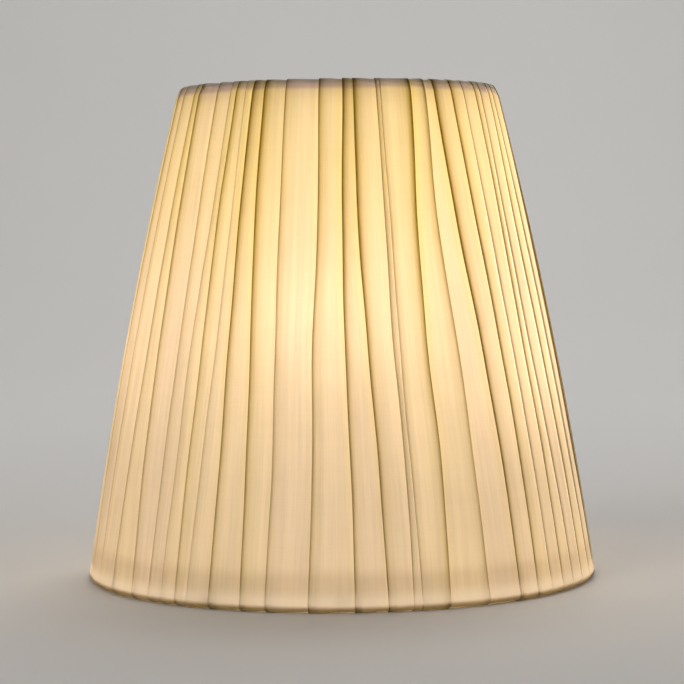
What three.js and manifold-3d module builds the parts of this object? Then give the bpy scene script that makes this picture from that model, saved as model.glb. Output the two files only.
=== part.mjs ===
// A lined, pleated lamp shade in its own frame: millimetres, +Z up, origin at the centre of the
// bottom rim's plane. A welded wire frame (two rings, bowed ribs and a three-armed fitter) carries a
// pleated cover, sewn from panels that join under a pleat, and a plain two-piece lining. A plastic
// reducer drops into the fitter.
import * as THREE from "three";
import { mergeVertices } from "three/addons/utils/BufferGeometryUtils.js";
import Module from "manifold-3d";

// ---- driving dimensions ----
const HEIGHT = 250; // over both rims
const BOTTOM_RADIUS = 130; // over the pleats at the bottom rim
const SHOULDER_RADIUS = 83; // over the pleats just under the top rim
const SHOULDER_HEIGHT = 244;
const BOW = 3; // how far the side stands out from a straight cone at mid height

const RING_WIRE = 3.2; // wire diameters
const RIB_WIRE = 2.4;
const ARM_WIRE = 3;
const TOP_RING_RADIUS = 78.4; // to the wire's centre
const BOTTOM_ROLL = 3.6; // radius of the pleats' roll round the bottom ring
const TOP_ROLL = 2.6; // radius of their roll round the top ring

const COVER_THICKNESS = 2.6; // of the folded pleats
const ROLL_RUN = 8; // height in which the bottom roll runs out into the side
const SHOULDER_RUN = 2; // how far below the shoulder the cover's inner face starts to roll over
const CLOTH = 0.6; // lining
const TAPE = 0.8; // edge tapes
const TAPE_WIDTH = 10;
const LINING_HEM = 7; // height of the lining's lower edge
const TAPE_TURN = 1; // how far below the top rim the top tape's edge is
const GAP = 0.35; // clearance between pieces that touch

const RIBS = 6;
const FIRST_RIB = 30; // degrees from +X
const ARMS = 3;
const COVER_PANELS = 5;
const LINING_PANELS = 2;
const FIRST_JOIN = 216; // degrees from +X to the first join in the cover
const LINING_SEAM = 15; // degrees from +X to the lining's first seam
const PANEL_GAP = 0.25; // degrees between neighbouring panels

const ARM_FOOT = 12; // straight run of an arm at the bottom ring
const ARM_RISE = 22; // how far in an arm's crank reaches its full height
const ARM_BEND = 7; // length of each side of a bend
const FITTER_HEIGHT = 25; // underside of the fitter ring above the bottom rim
const FITTER_PLATE = 1.5;
const FITTER_HOLE = 42; // diameters
const FITTER_OUTSIDE = 57;

const ADAPTER_HOLE = 29;
const ADAPTER_FLANGE = 49;
const FLANGE_PLATE = 1.4;
const COLLAR_DEPTH = 4.2;
const COLLAR_WALL = 1.6;
const COLLAR_SLOTS = 6; // they let the collar spring
const SLOT_WIDTH = 7;
const FIRST_SLOT = 30; // degrees from +X
const SLOT_START = 1; // from the boss's outer wall to the slots

const AROUND = 60; // facets round a full turn
const RING_FACETS = 8; // facets round the wire of a ring
const rad = THREE.MathUtils.degToRad;

// ---- places worked out from them ----
const ringWire = RING_WIRE / 2;
const bottomRing = new THREE.Vector2(BOTTOM_RADIUS - BOTTOM_ROLL, BOTTOM_ROLL);
const topRing = new THREE.Vector2(TOP_RING_RADIUS, HEIGHT - TOP_ROLL);
const hemRadius = bottomRing.x - ringWire - GAP;
const ribInset = COVER_THICKNESS + GAP + RIB_WIRE / 2;
const liningInset = ribInset + RIB_WIRE / 2 + GAP;
const tapeInset = liningInset + CLOTH + GAP;
const fitterTop = FITTER_HEIGHT + FITTER_PLATE;

// Outer radius of the cover at a height: a straight cone plus a shallow bow.
function sideRadius(z) {
  const t = (z - BOTTOM_ROLL) / (SHOULDER_HEIGHT - BOTTOM_ROLL);
  return THREE.MathUtils.lerp(BOTTOM_RADIUS, SHOULDER_RADIUS, t) + 4 * BOW * t * (1 - t);
}

// Points up or down the side, set in from the cover's outer face.
function sideLine(inset, from, to, steps) {
  return Array.from({ length: steps + 1 }, (_, i) => {
    const z = THREE.MathUtils.lerp(from, to, i / steps);
    return new THREE.Vector2(sideRadius(z) - inset, z);
  });
}

// Points on an arc of a profile, angles in degrees.
function arc(centre, radius, from, to, steps) {
  return Array.from({ length: steps + 1 }, (_, i) => {
    const a = rad(THREE.MathUtils.lerp(from, to, i / steps));
    return new THREE.Vector2(centre.x + radius * Math.cos(a), centre.y + radius * Math.sin(a));
  });
}

// ---- shape helpers ----
// A (radius, height) profile, drawn counterclockwise, turned through part of a circle and capped
// at both ends.
function turnedSector(profile, startDegrees, degrees, steps) {
  const n = profile.length;
  const positions = [];
  for (let i = 0; i <= steps; i++) {
    const a = rad(startDegrees + (degrees * i) / steps);
    for (const p of profile) {
      positions.push(p.x * Math.cos(a), p.x * Math.sin(a), p.y);
    }
  }
  const index = [];
  for (let i = 0; i < steps; i++) {
    for (let j = 0; j < n; j++) {
      const a = i * n + j;
      const b = i * n + ((j + 1) % n);
      index.push(a, a + n, b, b, a + n, b + n);
    }
  }
  const last = steps * n;
  for (const [a, b, c] of THREE.ShapeUtils.triangulateShape(profile, [])) {
    index.push(a, b, c, last + c, last + b, last + a);
  }
  const geometry = new THREE.BufferGeometry();
  geometry.setAttribute("position", new THREE.Float32BufferAttribute(positions, 3));
  geometry.setIndex(index);
  geometry.computeVertexNormals();
  return geometry;
}

// A profile that closes on itself, turned through the full circle about +Z.
function turnedRing(profile) {
  return new THREE.LatheGeometry([...profile, profile[0]], AROUND).rotateX(Math.PI / 2);
}

// Round wire along a curve.
function wire(curve, diameter, steps) {
  const section = new THREE.Shape().absarc(0, 0, diameter / 2, 0, 2 * Math.PI);
  return new THREE.ExtrudeGeometry(section, {
    extrudePath: curve,
    steps,
    curveSegments: 4,
    bevelEnabled: false,
  });
}

const wasm = await Module();
wasm.setup();

function solidOf(geometry) {
  const bare = geometry.clone();
  bare.deleteAttribute("normal");
  bare.deleteAttribute("uv");
  const merged = mergeVertices(bare);
  return new wasm.Manifold(
    new wasm.Mesh({
      numProp: 3,
      vertProperties: merged.attributes.position.array,
      triVerts: new Uint32Array(merged.index.array),
    }),
  );
}

function geometryOf(solid) {
  const mesh = solid.getMesh();
  const geometry = new THREE.BufferGeometry();
  geometry.setAttribute("position", new THREE.BufferAttribute(mesh.vertProperties, 3));
  geometry.setIndex(new THREE.BufferAttribute(mesh.triVerts, 1));
  geometry.computeVertexNormals();
  return geometry;
}

// ---- materials ----
const steel = new THREE.MeshStandardMaterial({ color: 0xe9e6de, roughness: 0.45, metalness: 0.2 });
const pleats = new THREE.MeshStandardMaterial({ color: 0xf1e6cf, roughness: 0.85, metalness: 0 });
const liningCloth = new THREE.MeshStandardMaterial({ color: 0xf6f0e2, roughness: 0.8, metalness: 0 });
const tapeCloth = new THREE.MeshStandardMaterial({ color: 0xefe6d3, roughness: 0.9, metalness: 0 });
const plastic = new THREE.MeshStandardMaterial({ color: 0xf2f0ea, roughness: 0.5, metalness: 0 });

const shade = new THREE.Group();

function add(name, geometry, material, parent = shade) {
  const mesh = new THREE.Mesh(geometry, material);
  mesh.name = name;
  parent.add(mesh);
  return mesh;
}

// A group turned about the shade's axis.
function turned(degrees) {
  const group = new THREE.Group();
  group.rotation.z = rad(degrees);
  shade.add(group);
  return group;
}

// ---- wire frame ----
function addRings() {
  for (const [name, centre] of [["bottom_ring", bottomRing], ["top_ring", topRing]]) {
    const ring = add(name, new THREE.TorusGeometry(centre.x, ringWire, RING_FACETS, AROUND), steel);
    ring.position.z = centre.y;
  }
}

// Bowed ribs, butted between the rings.
function addRibs() {
  const bottom = bottomRing.y + ringWire + GAP;
  const top = topRing.y - ringWire - GAP;
  const points = sideLine(ribInset, bottom, top, 8).map((p) => new THREE.Vector3(p.x, 0, p.y));
  const geometry = wire(new THREE.CatmullRomCurve3(points), RIB_WIRE, 10);
  for (let i = 0; i < RIBS; i++) {
    add(`rib_${i + 1}`, geometry, steel, turned(FIRST_RIB + (i * 360) / RIBS));
  }
}

// Flat fitter ring that the lampholder passes through.
function addFitterRing() {
  const plate = new THREE.Shape().absarc(0, 0, FITTER_OUTSIDE / 2, 0, 2 * Math.PI);
  plate.holes.push(new THREE.Path().absarc(0, 0, FITTER_HOLE / 2, 0, 2 * Math.PI));
  const geometry = new THREE.ExtrudeGeometry(plate, {
    depth: FITTER_PLATE,
    curveSegments: AROUND / 2,
    bevelEnabled: false,
  });
  add("fitter_ring", geometry, steel).position.z = FITTER_HEIGHT;
}

// Cranked arms from the bottom ring up to the fitter ring.
function addArms() {
  const low = bottomRing.y;
  const high = FITTER_HEIGHT + FITTER_PLATE / 2;
  const kneeLow = new THREE.Vector3(hemRadius - ARM_FOOT, 0, low);
  const kneeHigh = new THREE.Vector3(kneeLow.x - ARM_RISE, 0, high);
  const up = kneeHigh.clone().sub(kneeLow).setLength(ARM_BEND);
  const inward = new THREE.Vector3(-ARM_BEND, 0, 0);
  const start = new THREE.Vector3(hemRadius, 0, low);
  const end = new THREE.Vector3(FITTER_OUTSIDE / 2 + GAP, 0, high);
  const bends = [
    new THREE.QuadraticBezierCurve3(kneeLow.clone().sub(inward), kneeLow, kneeLow.clone().add(up)),
    new THREE.QuadraticBezierCurve3(kneeHigh.clone().sub(up), kneeHigh, kneeHigh.clone().add(inward)),
  ];
  const path = new THREE.CurvePath();
  path.add(new THREE.LineCurve3(start, bends[0].v0));
  path.add(bends[0]);
  path.add(new THREE.LineCurve3(bends[0].v2, bends[1].v0));
  path.add(bends[1]);
  path.add(new THREE.LineCurve3(bends[1].v2, end));
  const geometry = wire(path, ARM_WIRE, 22);
  for (let i = 0; i < ARMS; i++) {
    add(`fitter_arm_${i + 1}`, geometry, steel, turned((i * 360) / ARMS));
  }
}

// ---- drop-in reducer: a flange over the fitter ring and a slotted collar inside its hole ----
function addAdapter() {
  const hole = ADAPTER_HOLE / 2;
  const bossOutside = hole + COLLAR_WALL;
  const collar = FITTER_HOLE / 2 - GAP;
  const collarInside = collar - COLLAR_WALL;
  const seat = fitterTop + GAP;
  const profile = [
    [collarInside, seat - COLLAR_DEPTH],
    [collar, seat - COLLAR_DEPTH],
    [collar, seat],
    [ADAPTER_FLANGE / 2, seat],
    [ADAPTER_FLANGE / 2, seat + FLANGE_PLATE],
    [hole, seat + FLANGE_PLATE],
    [hole, seat - COLLAR_WALL],
    [bossOutside, seat - COLLAR_WALL],
    [bossOutside, seat],
    [collarInside, seat],
  ].map(([r, z]) => new THREE.Vector2(r, z));
  const slot = new THREE.BoxGeometry(ADAPTER_FLANGE, SLOT_WIDTH, COLLAR_DEPTH);
  const slotMiddle = bossOutside + SLOT_START + ADAPTER_FLANGE / 2;
  slot.translate(slotMiddle, 0, seat - GAP - COLLAR_DEPTH / 2);
  let solid = solidOf(turnedRing(profile));
  for (let i = 0; i < COLLAR_SLOTS; i++) {
    const angle = rad(FIRST_SLOT + (i * 360) / COLLAR_SLOTS);
    solid = solid.subtract(solidOf(slot.clone().rotateZ(angle)));
  }
  add("adapter_ring", geometryOf(solid), plastic);
}

// ---- cloth ----
// The pleated cover as a plain shell that rolls over both rings, one node for each joined panel.
function addCover() {
  const clear = ringWire + GAP;
  const outside = [
    new THREE.Vector2(hemRadius, 0),
    ...arc(bottomRing, BOTTOM_ROLL, -90, 0, 4),
    ...sideLine(0, BOTTOM_ROLL + ROLL_RUN, SHOULDER_HEIGHT, 6),
    ...arc(topRing, TOP_ROLL, 0, 90, 3),
    new THREE.Vector2(topRing.x - ringWire, HEIGHT),
  ];
  const inside = [
    new THREE.Vector2(topRing.x - ringWire, topRing.y + clear),
    ...arc(topRing, clear, 90, 0, 3),
    ...sideLine(COVER_THICKNESS, SHOULDER_HEIGHT - SHOULDER_RUN, BOTTOM_ROLL + ROLL_RUN, 6),
    ...arc(bottomRing, clear, 0, -90, 3),
    new THREE.Vector2(hemRadius, bottomRing.y - clear),
  ];
  const span = 360 / COVER_PANELS;
  for (let i = 0; i < COVER_PANELS; i++) {
    const start = FIRST_JOIN + i * span;
    const steps = AROUND / COVER_PANELS;
    const geometry = turnedSector([...outside, ...inside], start, span - PANEL_GAP, steps);
    add(`cover_panel_${i + 1}`, geometry, pleats);
  }
}

// Lining inside the ribs, in two halves.
function addLining() {
  const high = topRing.y - TOP_ROLL;
  const profile = [
    ...sideLine(liningInset, LINING_HEM, high, 5),
    ...sideLine(liningInset + CLOTH, high, LINING_HEM, 5),
  ];
  const span = 360 / LINING_PANELS;
  for (let i = 0; i < LINING_PANELS; i++) {
    const start = LINING_SEAM + i * span;
    const geometry = turnedSector(profile, start, span - PANEL_GAP, AROUND / LINING_PANELS);
    add(`lining_panel_${i + 1}`, geometry, liningCloth);
  }
}

// Woven tapes over the lining's two edges.
function addTapes() {
  const tapes = [["bottom_tape", LINING_HEM], ["top_tape", HEIGHT - TAPE_TURN - TAPE_WIDTH]];
  for (const [name, low] of tapes) {
    const profile = [
      ...sideLine(tapeInset, low, low + TAPE_WIDTH, 1),
      ...sideLine(tapeInset + TAPE, low + TAPE_WIDTH, low, 1),
    ];
    add(name, turnedRing(profile), tapeCloth);
  }
}

addRings();
addRibs();
addFitterRing();
addArms();
addAdapter();
addCover();
addLining();
addTapes();

export default shade;
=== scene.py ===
import math
import random

import bmesh
import bpy
import numpy as np
from mathutils import Matrix, Vector


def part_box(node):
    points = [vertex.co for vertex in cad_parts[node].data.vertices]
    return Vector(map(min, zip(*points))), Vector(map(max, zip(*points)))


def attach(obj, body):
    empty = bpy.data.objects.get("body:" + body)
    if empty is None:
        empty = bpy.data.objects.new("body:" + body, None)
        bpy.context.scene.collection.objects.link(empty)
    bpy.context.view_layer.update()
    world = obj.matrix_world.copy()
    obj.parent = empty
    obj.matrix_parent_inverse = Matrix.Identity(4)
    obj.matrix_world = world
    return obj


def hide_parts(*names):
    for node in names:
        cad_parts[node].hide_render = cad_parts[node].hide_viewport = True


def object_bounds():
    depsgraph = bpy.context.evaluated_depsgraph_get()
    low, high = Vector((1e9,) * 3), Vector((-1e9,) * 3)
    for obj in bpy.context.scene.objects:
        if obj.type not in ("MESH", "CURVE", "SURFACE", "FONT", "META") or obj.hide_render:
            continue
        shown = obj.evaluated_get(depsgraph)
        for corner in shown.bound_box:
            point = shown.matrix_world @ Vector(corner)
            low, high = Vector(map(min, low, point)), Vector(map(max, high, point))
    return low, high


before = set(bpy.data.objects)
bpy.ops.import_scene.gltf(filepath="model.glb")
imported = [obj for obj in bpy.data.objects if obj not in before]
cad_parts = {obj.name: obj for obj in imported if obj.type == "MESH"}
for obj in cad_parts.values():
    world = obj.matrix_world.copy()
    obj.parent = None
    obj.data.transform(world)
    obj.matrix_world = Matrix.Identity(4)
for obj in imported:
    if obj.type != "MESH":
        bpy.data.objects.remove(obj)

cad_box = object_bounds()

MM = 0.001
DEG = math.pi / 180

# ---- sizes read off the frame ----


def ring_of(node):
    """Centre radius, centre height and wire radius of a ring that lies level."""
    low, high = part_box(node)
    wire = (high.z - low.z) / 2
    return (high.x - low.x) / 2 - wire, (high.z + low.z) / 2, wire


BOTTOM_R, BOTTOM_Z, WIRE_R = ring_of("bottom_ring")
TOP_R, TOP_Z, _ = ring_of("top_ring")
RIM_R = cad_box[1].x

# ---- sizes of the shade's side ----
SHOULDER_R = 83 * MM  # over the pleats just under the top rim
SHOULDER_Z = 244 * MM
BOW = 3 * MM  # how far the side stands out from a straight cone


def side_radius(z):
    """Outer radius over the pleats."""
    t = (z - BOTTOM_Z) / (SHOULDER_Z - BOTTOM_Z)
    return RIM_R + (SHOULDER_R - RIM_R) * t + 4 * BOW * t * (1 - t)


# ---- mesh helpers ----


def mesh_object(name, points, faces, material):
    mesh = bpy.data.meshes.new(name)
    mesh.from_pydata(points, [], faces)
    mesh.validate()
    mesh.polygons.foreach_set("use_smooth", [True] * len(mesh.polygons))
    mesh.materials.append(material)
    piece = bpy.data.objects.new(name, mesh)
    bpy.context.scene.collection.objects.link(piece)
    return piece


def grid_faces(rows, columns, close_rows=False, close_columns=False):
    faces = []
    for i in range(rows if close_rows else rows - 1):
        k = (i + 1) % rows
        for j in range(columns if close_columns else columns - 1):
            m = (j + 1) % columns
            faces.append((i * columns + j, i * columns + m, k * columns + m, k * columns + j))
    return faces


def tube_faces(rings, sides, first=0):
    """Faces of a tube closed at both ends, whose points start at number first."""
    faces = [tuple(first + k for k in face) for face in grid_faces(rings, sides, close_columns=True)]
    end = first + (rings - 1) * sides
    faces.append(tuple(range(first, first + sides)))
    faces.append(tuple(reversed(range(end, end + sides))))
    return faces


def point_values(piece, name, kind, values):
    data = piece.data.attributes.new(name, kind, "POINT").data
    data.foreach_set("vector" if kind == "FLOAT_VECTOR" else "value", np.asarray(values, float).ravel())


# ---- material helpers ----


class Nodes:
    """Short forms for building a node tree."""

    def __init__(self, name):
        self.material = bpy.data.materials.new(name)
        self.material.use_nodes = True
        self.tree = self.material.node_tree
        self.tree.nodes.clear()

    def node(self, kind, inputs=None, **settings):
        made = self.tree.nodes.new(kind)
        for key, value in settings.items():
            setattr(made, key, value)
        for key, value in (inputs or {}).items():
            socket = made.inputs[key]
            if isinstance(value, bpy.types.NodeSocket):
                self.tree.links.new(value, socket)
            else:
                socket.default_value = value
        return made

    def attribute(self, name, output="Fac"):
        return self.node("ShaderNodeAttribute", attribute_name=name).outputs[output]

    def math(self, operation, a, b=0.0, c=0.0):
        return self.node("ShaderNodeMath", {0: a, 1: b, 2: c}, operation=operation).outputs[0]

    def remap(self, value, low, high, to_low, to_high):
        inputs = {"Value": value, "From Min": low, "From Max": high, "To Min": to_low, "To Max": to_high}
        return self.node("ShaderNodeMapRange", inputs).outputs[0]

    def mix(self, factor, a, b, blend="MIX"):
        made = self.node("ShaderNodeMix", data_type="RGBA", blend_type=blend)
        for key, value in ((0, factor), (6, a), (7, b)):
            if isinstance(value, bpy.types.NodeSocket):
                self.tree.links.new(value, made.inputs[key])
            else:
                made.inputs[key].default_value = value
        return made.outputs[2]

    def noise(self, vector, scale, detail=2.0, roughness=0.5):
        inputs = {"Vector": vector, "Scale": scale, "Detail": detail, "Roughness": roughness}
        return self.node("ShaderNodeTexNoise", inputs).outputs["Fac"]

    def stretched(self, vector, scale):
        return self.node("ShaderNodeMapping", {"Vector": vector, "Scale": scale}).outputs[0]

    def bump(self, height, strength, distance):
        inputs = {"Height": height, "Strength": strength, "Distance": distance}
        return self.node("ShaderNodeBump", inputs).outputs[0]

    def mixed(self, share, front, behind):
        """Two shaders in one, with the given share of the second."""
        inputs = {0: share, 1: front.outputs[0], 2: behind.outputs[0]}
        return self.node("ShaderNodeMixShader", inputs).outputs[0]

    def finish(self, shader):
        self.node("ShaderNodeOutputMaterial", {"Surface": shader})
        return self.material


# ---- cloth materials ----
CLOTH = (0.95, 0.87, 0.72, 1)  # in front light
CLOTH_THROUGH = (0.95, 0.905, 0.835, 1)  # what one layer lets through
LINING, LINING_THROUGH = (0.9, 0.87, 0.8, 1), (0.97, 0.95, 0.9, 1)
PINKER_FACE, YELLOWER_FACE = (0.975, 0.96, 0.975, 1), (1.0, 0.995, 0.92, 1)  # two ends of the faces' tones
PAINTED_FOLD_SHADE = (0.31, 0.235, 0.01, 1)  # painted shade: the dim light left behind a fold's layers
PAINTED_STRIP_GLOW = (1.035, 1.02, 0.64, 1)  # painted yellow glow beside a fold
RING_SHADE = (0.69, 0.65, 0.81, 1)  # over a ring's wire
COVER_SHARE, LINING_SHARE, TAPE_SHARE = 0.86, 0.75, 0.94  # how much of the light a cloth scatters through
COVER_THREAD, LINING_THREAD = 0.32 * MM, 0.3 * MM


def grey(n, value):
    return n.node("ShaderNodeCombineColor", {0: value, 1: value, 2: value}).outputs[0]


def weave_height(n, place, thread):
    """Over and under of a plain weave, from -1 to 1, whose threads are half the given size wide."""
    split = n.node("ShaderNodeSeparateXYZ", {0: place})
    warp = n.math("SINE", n.math("MULTIPLY", split.outputs[0], 2 * math.pi / thread))
    weft = n.math("SINE", n.math("MULTIPLY", split.outputs[1], 2 * math.pi / thread))
    return n.math("MULTIPLY", warp, weft)


def cloth_tone(n, place, weave, slub):
    """Brightness of the cloth: slubs along and across it, wider streaks, soft clouds and the weave itself."""
    cross_slub = n.noise(n.stretched(place, (20, 1500, 1)), 1.0, 2.0, 0.5)
    streak = n.noise(n.stretched(place, (430, 7, 1)), 1.0, 2.0, 0.55)
    cloud = n.noise(place, 38.0, 2.0)
    tone = n.math("ADD", n.remap(slub, 0.3, 0.7, -0.035, 0.035), n.remap(cross_slub, 0.3, 0.7, -0.008, 0.008))
    tone = n.math("ADD", tone, n.remap(streak, 0.3, 0.7, -0.042, 0.042))
    tone = n.math("ADD", tone, n.remap(cloud, 0.3, 0.7, -0.02, 0.02))
    tone = n.math("ADD", tone, n.math("MULTIPLY", weave, 0.02))
    return n.math("ADD", tone, 0.96)


def cloth_material(name, colour, through, share, thread, edge=None):
    """Woven cloth that lets light through.

    Its points carry "flat_place": metres across and along the flat cloth, and the face's tone from 0 to 1.
    With an edge colour, the colour of the painted shade at the folds, they also carry "fold" (painted shade
    from a fold's layers, painted pale light and painted yellow glow) and "over_ring" (how far a ring's wire
    holds back the light, as painted shadow).
    """
    n = Nodes(name)
    place = n.attribute("flat_place", "Vector")
    weave = weave_height(n, place, thread)
    slub = n.noise(n.stretched(place, (1800, 26, 1)), 1.0, 3.0, 0.6)
    bright = grey(n, cloth_tone(n, place, weave, slub))
    surface = n.mix(1.0, colour, bright, "MULTIPLY")
    inner = n.mix(1.0, through, bright, "MULTIPLY")
    if edge:
        face = n.node("ShaderNodeSeparateXYZ", {0: place}).outputs[2]
        inner = n.mix(1.0, inner, n.mix(face, PINKER_FACE, YELLOWER_FACE), "MULTIPLY")
        # painted shade, painted pale light and painted yellow glow that the points carry
        shades = n.node("ShaderNodeSeparateXYZ", {0: n.attribute("fold", "Vector")}).outputs
        dark, painted_pale_light, painted_yellow_glow = shades[0], shades[1], shades[2]
        # the painted shade in the folds darkens the front colour too
        surface = n.mix(n.math("MULTIPLY", dark, 0.85), surface, edge)
        inner = n.mix(painted_yellow_glow, inner, n.mix(1.0, inner, PAINTED_STRIP_GLOW, "MULTIPLY"))
        inner = n.mix(dark, inner, n.mix(1.0, inner, edge, "MULTIPLY"))
        inner = n.mix(n.attribute("over_ring"), inner, n.mix(1.0, inner, RING_SHADE, "MULTIPLY"))
        # painted pale light: the light through turns white and all of it passes
        inner = n.mix(painted_pale_light, inner, (1, 1, 1, 1))
        share = n.remap(painted_pale_light, 0.0, 1.0, share, 1.0)
    height = n.math("ADD", n.math("MULTIPLY", weave, 0.5), n.math("MULTIPLY", slub, 0.6))
    front = n.node("ShaderNodeBsdfPrincipled", {
        "Base Color": surface,
        "Roughness": 0.82,
        "Specular IOR Level": 0.25,
        "Sheen Weight": 0.15,
        "Sheen Roughness": 0.5,
        "Normal": n.bump(height, 0.35, 0.12 * MM),
    })
    behind = n.node("ShaderNodeBsdfTranslucent", {"Color": inner})
    return n.finish(n.mixed(share, front, behind))


# ---- pleated cover ----
CLOTH_CLEAR = 0.35 * MM  # cloth to wire
LAYER = 0.7 * MM  # centre to centre of a loose pleat's layers
TURN_R = 0.35 * MM  # radius of a folded edge
TUCK = 0.1 * MM  # how much looser the raw edge lies inside the bottom ring
RETURN_ROWS = ((8.5 * MM, 0.3), (7 * MM, 0.32), (6 * MM, 0.34), (4.8 * MM, 0.36))  # height and openness there
HEM_ROLL = 3.25 * MM  # from the bottom ring's centre out to the cloth
HEM_STEPS = 14  # rows round the roll
HEM_LEAN = 8.5 * DEG  # how far past level the roll turns
HEM_OPEN = 0.22  # how open the layers lie there: 0 is flat together
HEM_TO_SIDE = 2 * MM
SIDE_STEPS = 50
CREST_R = 81.15 * MM  # where the cloth meets the top ring
CREST_RISE = 2.1 * MM  # over the shoulder
CREST_STEPS = 4
SHOULDER_TILT, CREST_TILT = 11 * DEG, 24.5 * DEG  # of the cloth's outward direction
RIM_STEPS = 12  # rows over the top ring
RIM_RETURN = 1.2 * MM  # how far the cloth hangs inside it

# Painted light and shade on the cloth near the rings
TOP_BAND_Z = 243.7 * MM  # the cloth lies on the top ring from here up, and little light passes it
TOP_BAND_RUN = 2.8 * MM
TOP_BAND_SHIFT = 1.6 * MM  # how much its lower edge differs from face to face
TOP_LIGHT_Z, TOP_LIGHT_RUN = 246.6 * MM, 2.4 * MM  # above here some light gets over the ring
PALE_Z, PALE_RUN = 12.5 * MM, 6 * MM  # below here the hem glows pale, as painted pale light

# Folds that the front shows, from its left to its right. Each is degrees from the front at the bottom ring,
# a quarter, half and three quarters of the way up, and at the top ring, the side its hidden overlap lies on,
# depth of the overlap at the bottom in millimetres, how dark the overlap looks, and whether two lengths join.
RIGHT, LEFT = 1, -1
FRONT_FOLDS = [
    (-69.0, -69.0, -68.7, -68.6, -68.4, RIGHT, 4.0, 0.5, False),
    (-60.5, -60.0, -59.4, -59.3, -59.2, RIGHT, 4.0, 0.6, False),
    (-51.9, -53.2, -53.7, -54.7, -55.8, RIGHT, 5.0, 0.8, True),
    (-46.0, -45.6, -45.3, -45.2, -45.4, RIGHT, 4.0, 0.4, False),
    (-42.0, -41.2, -41.0, -39.4, -39.0, RIGHT, 3.0, 0.25, False),
    (-37.9, -37.7, -37.1, -37.1, -36.5, RIGHT, 4.0, 0.7, False),
    (-34.7, -33.8, -32.6, -32.4, -32.6, RIGHT, 2.5, 0.12, False),
    (-29.2, -28.7, -29.1, -29.6, -29.8, RIGHT, 5.0, 1.0, False),
    (-21.8, -22.0, -23.0, -24.5, -25.3, RIGHT, 5.0, 1.0, False),
    (-16.2, -15.8, -16.3, -17.0, -17.6, RIGHT, 6.0, 0.4, False),
    (-7.1, -6.5, -6.8, -6.0, -6.3, RIGHT, 5.5, 0.6, False),
    (2.6, 2.2, 1.1, 0.9, 1.6, RIGHT, 4.0, 0.9, False),
    (9.5, 8.4, 6.7, 5.3, 5.1, RIGHT, 4.0, 0.95, False),
    (14.9, 14.5, 13.3, 13.0, 12.8, RIGHT, 2.0, 0.45, False),
    (16.8, 15.9, 14.9, 14.5, 14.2, RIGHT, 4.0, 0.12, True),
    (23.1, 23.4, 22.2, 22.9, 25.3, LEFT, 4.5, 1.0, False),
    (32.5, 31.8, 30.8, 29.2, 30.8, LEFT, 5.0, 0.6, False),
    (40.8, 40.0, 38.2, 35.4, 34.2, RIGHT, 5.0, 0.95, False),
    (46.4, 46.1, 44.7, 42.9, 41.8, RIGHT, 4.0, 0.75, False),
    (51.5, 50.8, 49.5, 48.6, 48.0, RIGHT, 3.0, 0.2, False),
    (56.1, 55.6, 54.6, 54.7, 54.9, RIGHT, 3.0, 0.5, False),
    (61.0, 59.8, 58.0, 57.6, 58.6, RIGHT, 2.5, 0.3, False),
    (66.5, 66.0, 64.5, 63.8, 65.6, RIGHT, 2.5, 0.4, False),
    (73.0, 72.3, 71.3, 70.5, 69.9, RIGHT, 2.5, 0.3, False),
]
HEIGHTS = 5  # places up the side where a fold's degrees are given
SIDE, DEPTH, STRENGTH, JOIN = 5, 6, 7, 8  # what follows them
SEED = 11
BACK_FOLDS = 31
RAW_JOINS = (90, 162, 234)  # degrees from the front, where the back's lengths of cloth join
JOIN_POINTS = 4  # points of a fold's layers that one of the two lengths has at a join
PHASE_STEP = 1.7  # keeps the wander of one fold unlike the next one's
FACE_STEPS = 12  # columns across the visible face of a pleat


def all_folds():
    """Every fold round the shade, from the first join. The back's are drawn by chance."""
    draw = random.Random(SEED)
    folds = list(FRONT_FOLDS)
    start, end = FRONT_FOLDS[-1][0], FRONT_FOLDS[0][0] + 360
    gaps = [draw.uniform(0.6, 1.4) for _ in range(BACK_FOLDS + 1)]
    unit = (end - start) / sum(gaps)
    at = start
    back = []
    for gap in gaps[:-1]:
        at += gap * unit
        side = RIGHT if draw.random() < 0.8 else LEFT
        lean, drift = draw.uniform(-2.5, 1.5), draw.uniform(-1.4, 0.4)
        line = [at + lean * t + drift * math.sin(math.pi * t) for t in (0, 0.25, 0.5, 0.75, 1)]
        back.append([*line, side, draw.uniform(3, 6), draw.uniform(0.2, 1), False])
    for join in RAW_JOINS:
        nearest = min(back, key=lambda fold: abs(fold[0] - join))
        nearest[HEIGHTS:] = [RIGHT, 4.5, 0.7, True]
    folds += [tuple(fold) for fold in back]
    first = next(i for i, fold in enumerate(folds) if fold[JOIN])
    return folds[first:] + [turned_fold(fold, 360) for fold in folds[:first]]


def turned_fold(fold, degrees):
    return tuple(degree + degrees for degree in fold[:HEIGHTS]) + tuple(fold[HEIGHTS:])


def base_profile():
    """Rows of the cover's innermost layer, from its raw edge inside the bottom ring to that inside the top
    ring: radius, height, outward direction in radius and height, share of the way up, and how open the
    layers lie."""
    around = WIRE_R + CLOTH_CLEAR
    tucked = around + TUCK
    rows = [(BOTTOM_R - tucked, z, -1, 0, 0, open_) for z, open_ in RETURN_ROWS]
    rows += hem_rows(tucked)
    rows += side_rows(rows[-1][1] + HEM_TO_SIDE)
    rows += rim_rows(rows[-1][0], around)
    return rows


def hem_rows(tucked):
    """Round the bottom ring, from the inner return to the fuller roll outside."""
    rows = []
    for i in range(HEM_STEPS + 1):
        share = i / HEM_STEPS
        a = math.pi + (math.pi + HEM_LEAN) * share
        roll = tucked + (HEM_ROLL - tucked) * smooth(share / 0.35)
        out_r, out_z = math.cos(a), math.sin(a)
        rows.append((BOTTOM_R + roll * out_r, BOTTOM_Z + roll * out_z, out_r, out_z, 0, HEM_OPEN))
    return rows


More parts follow.
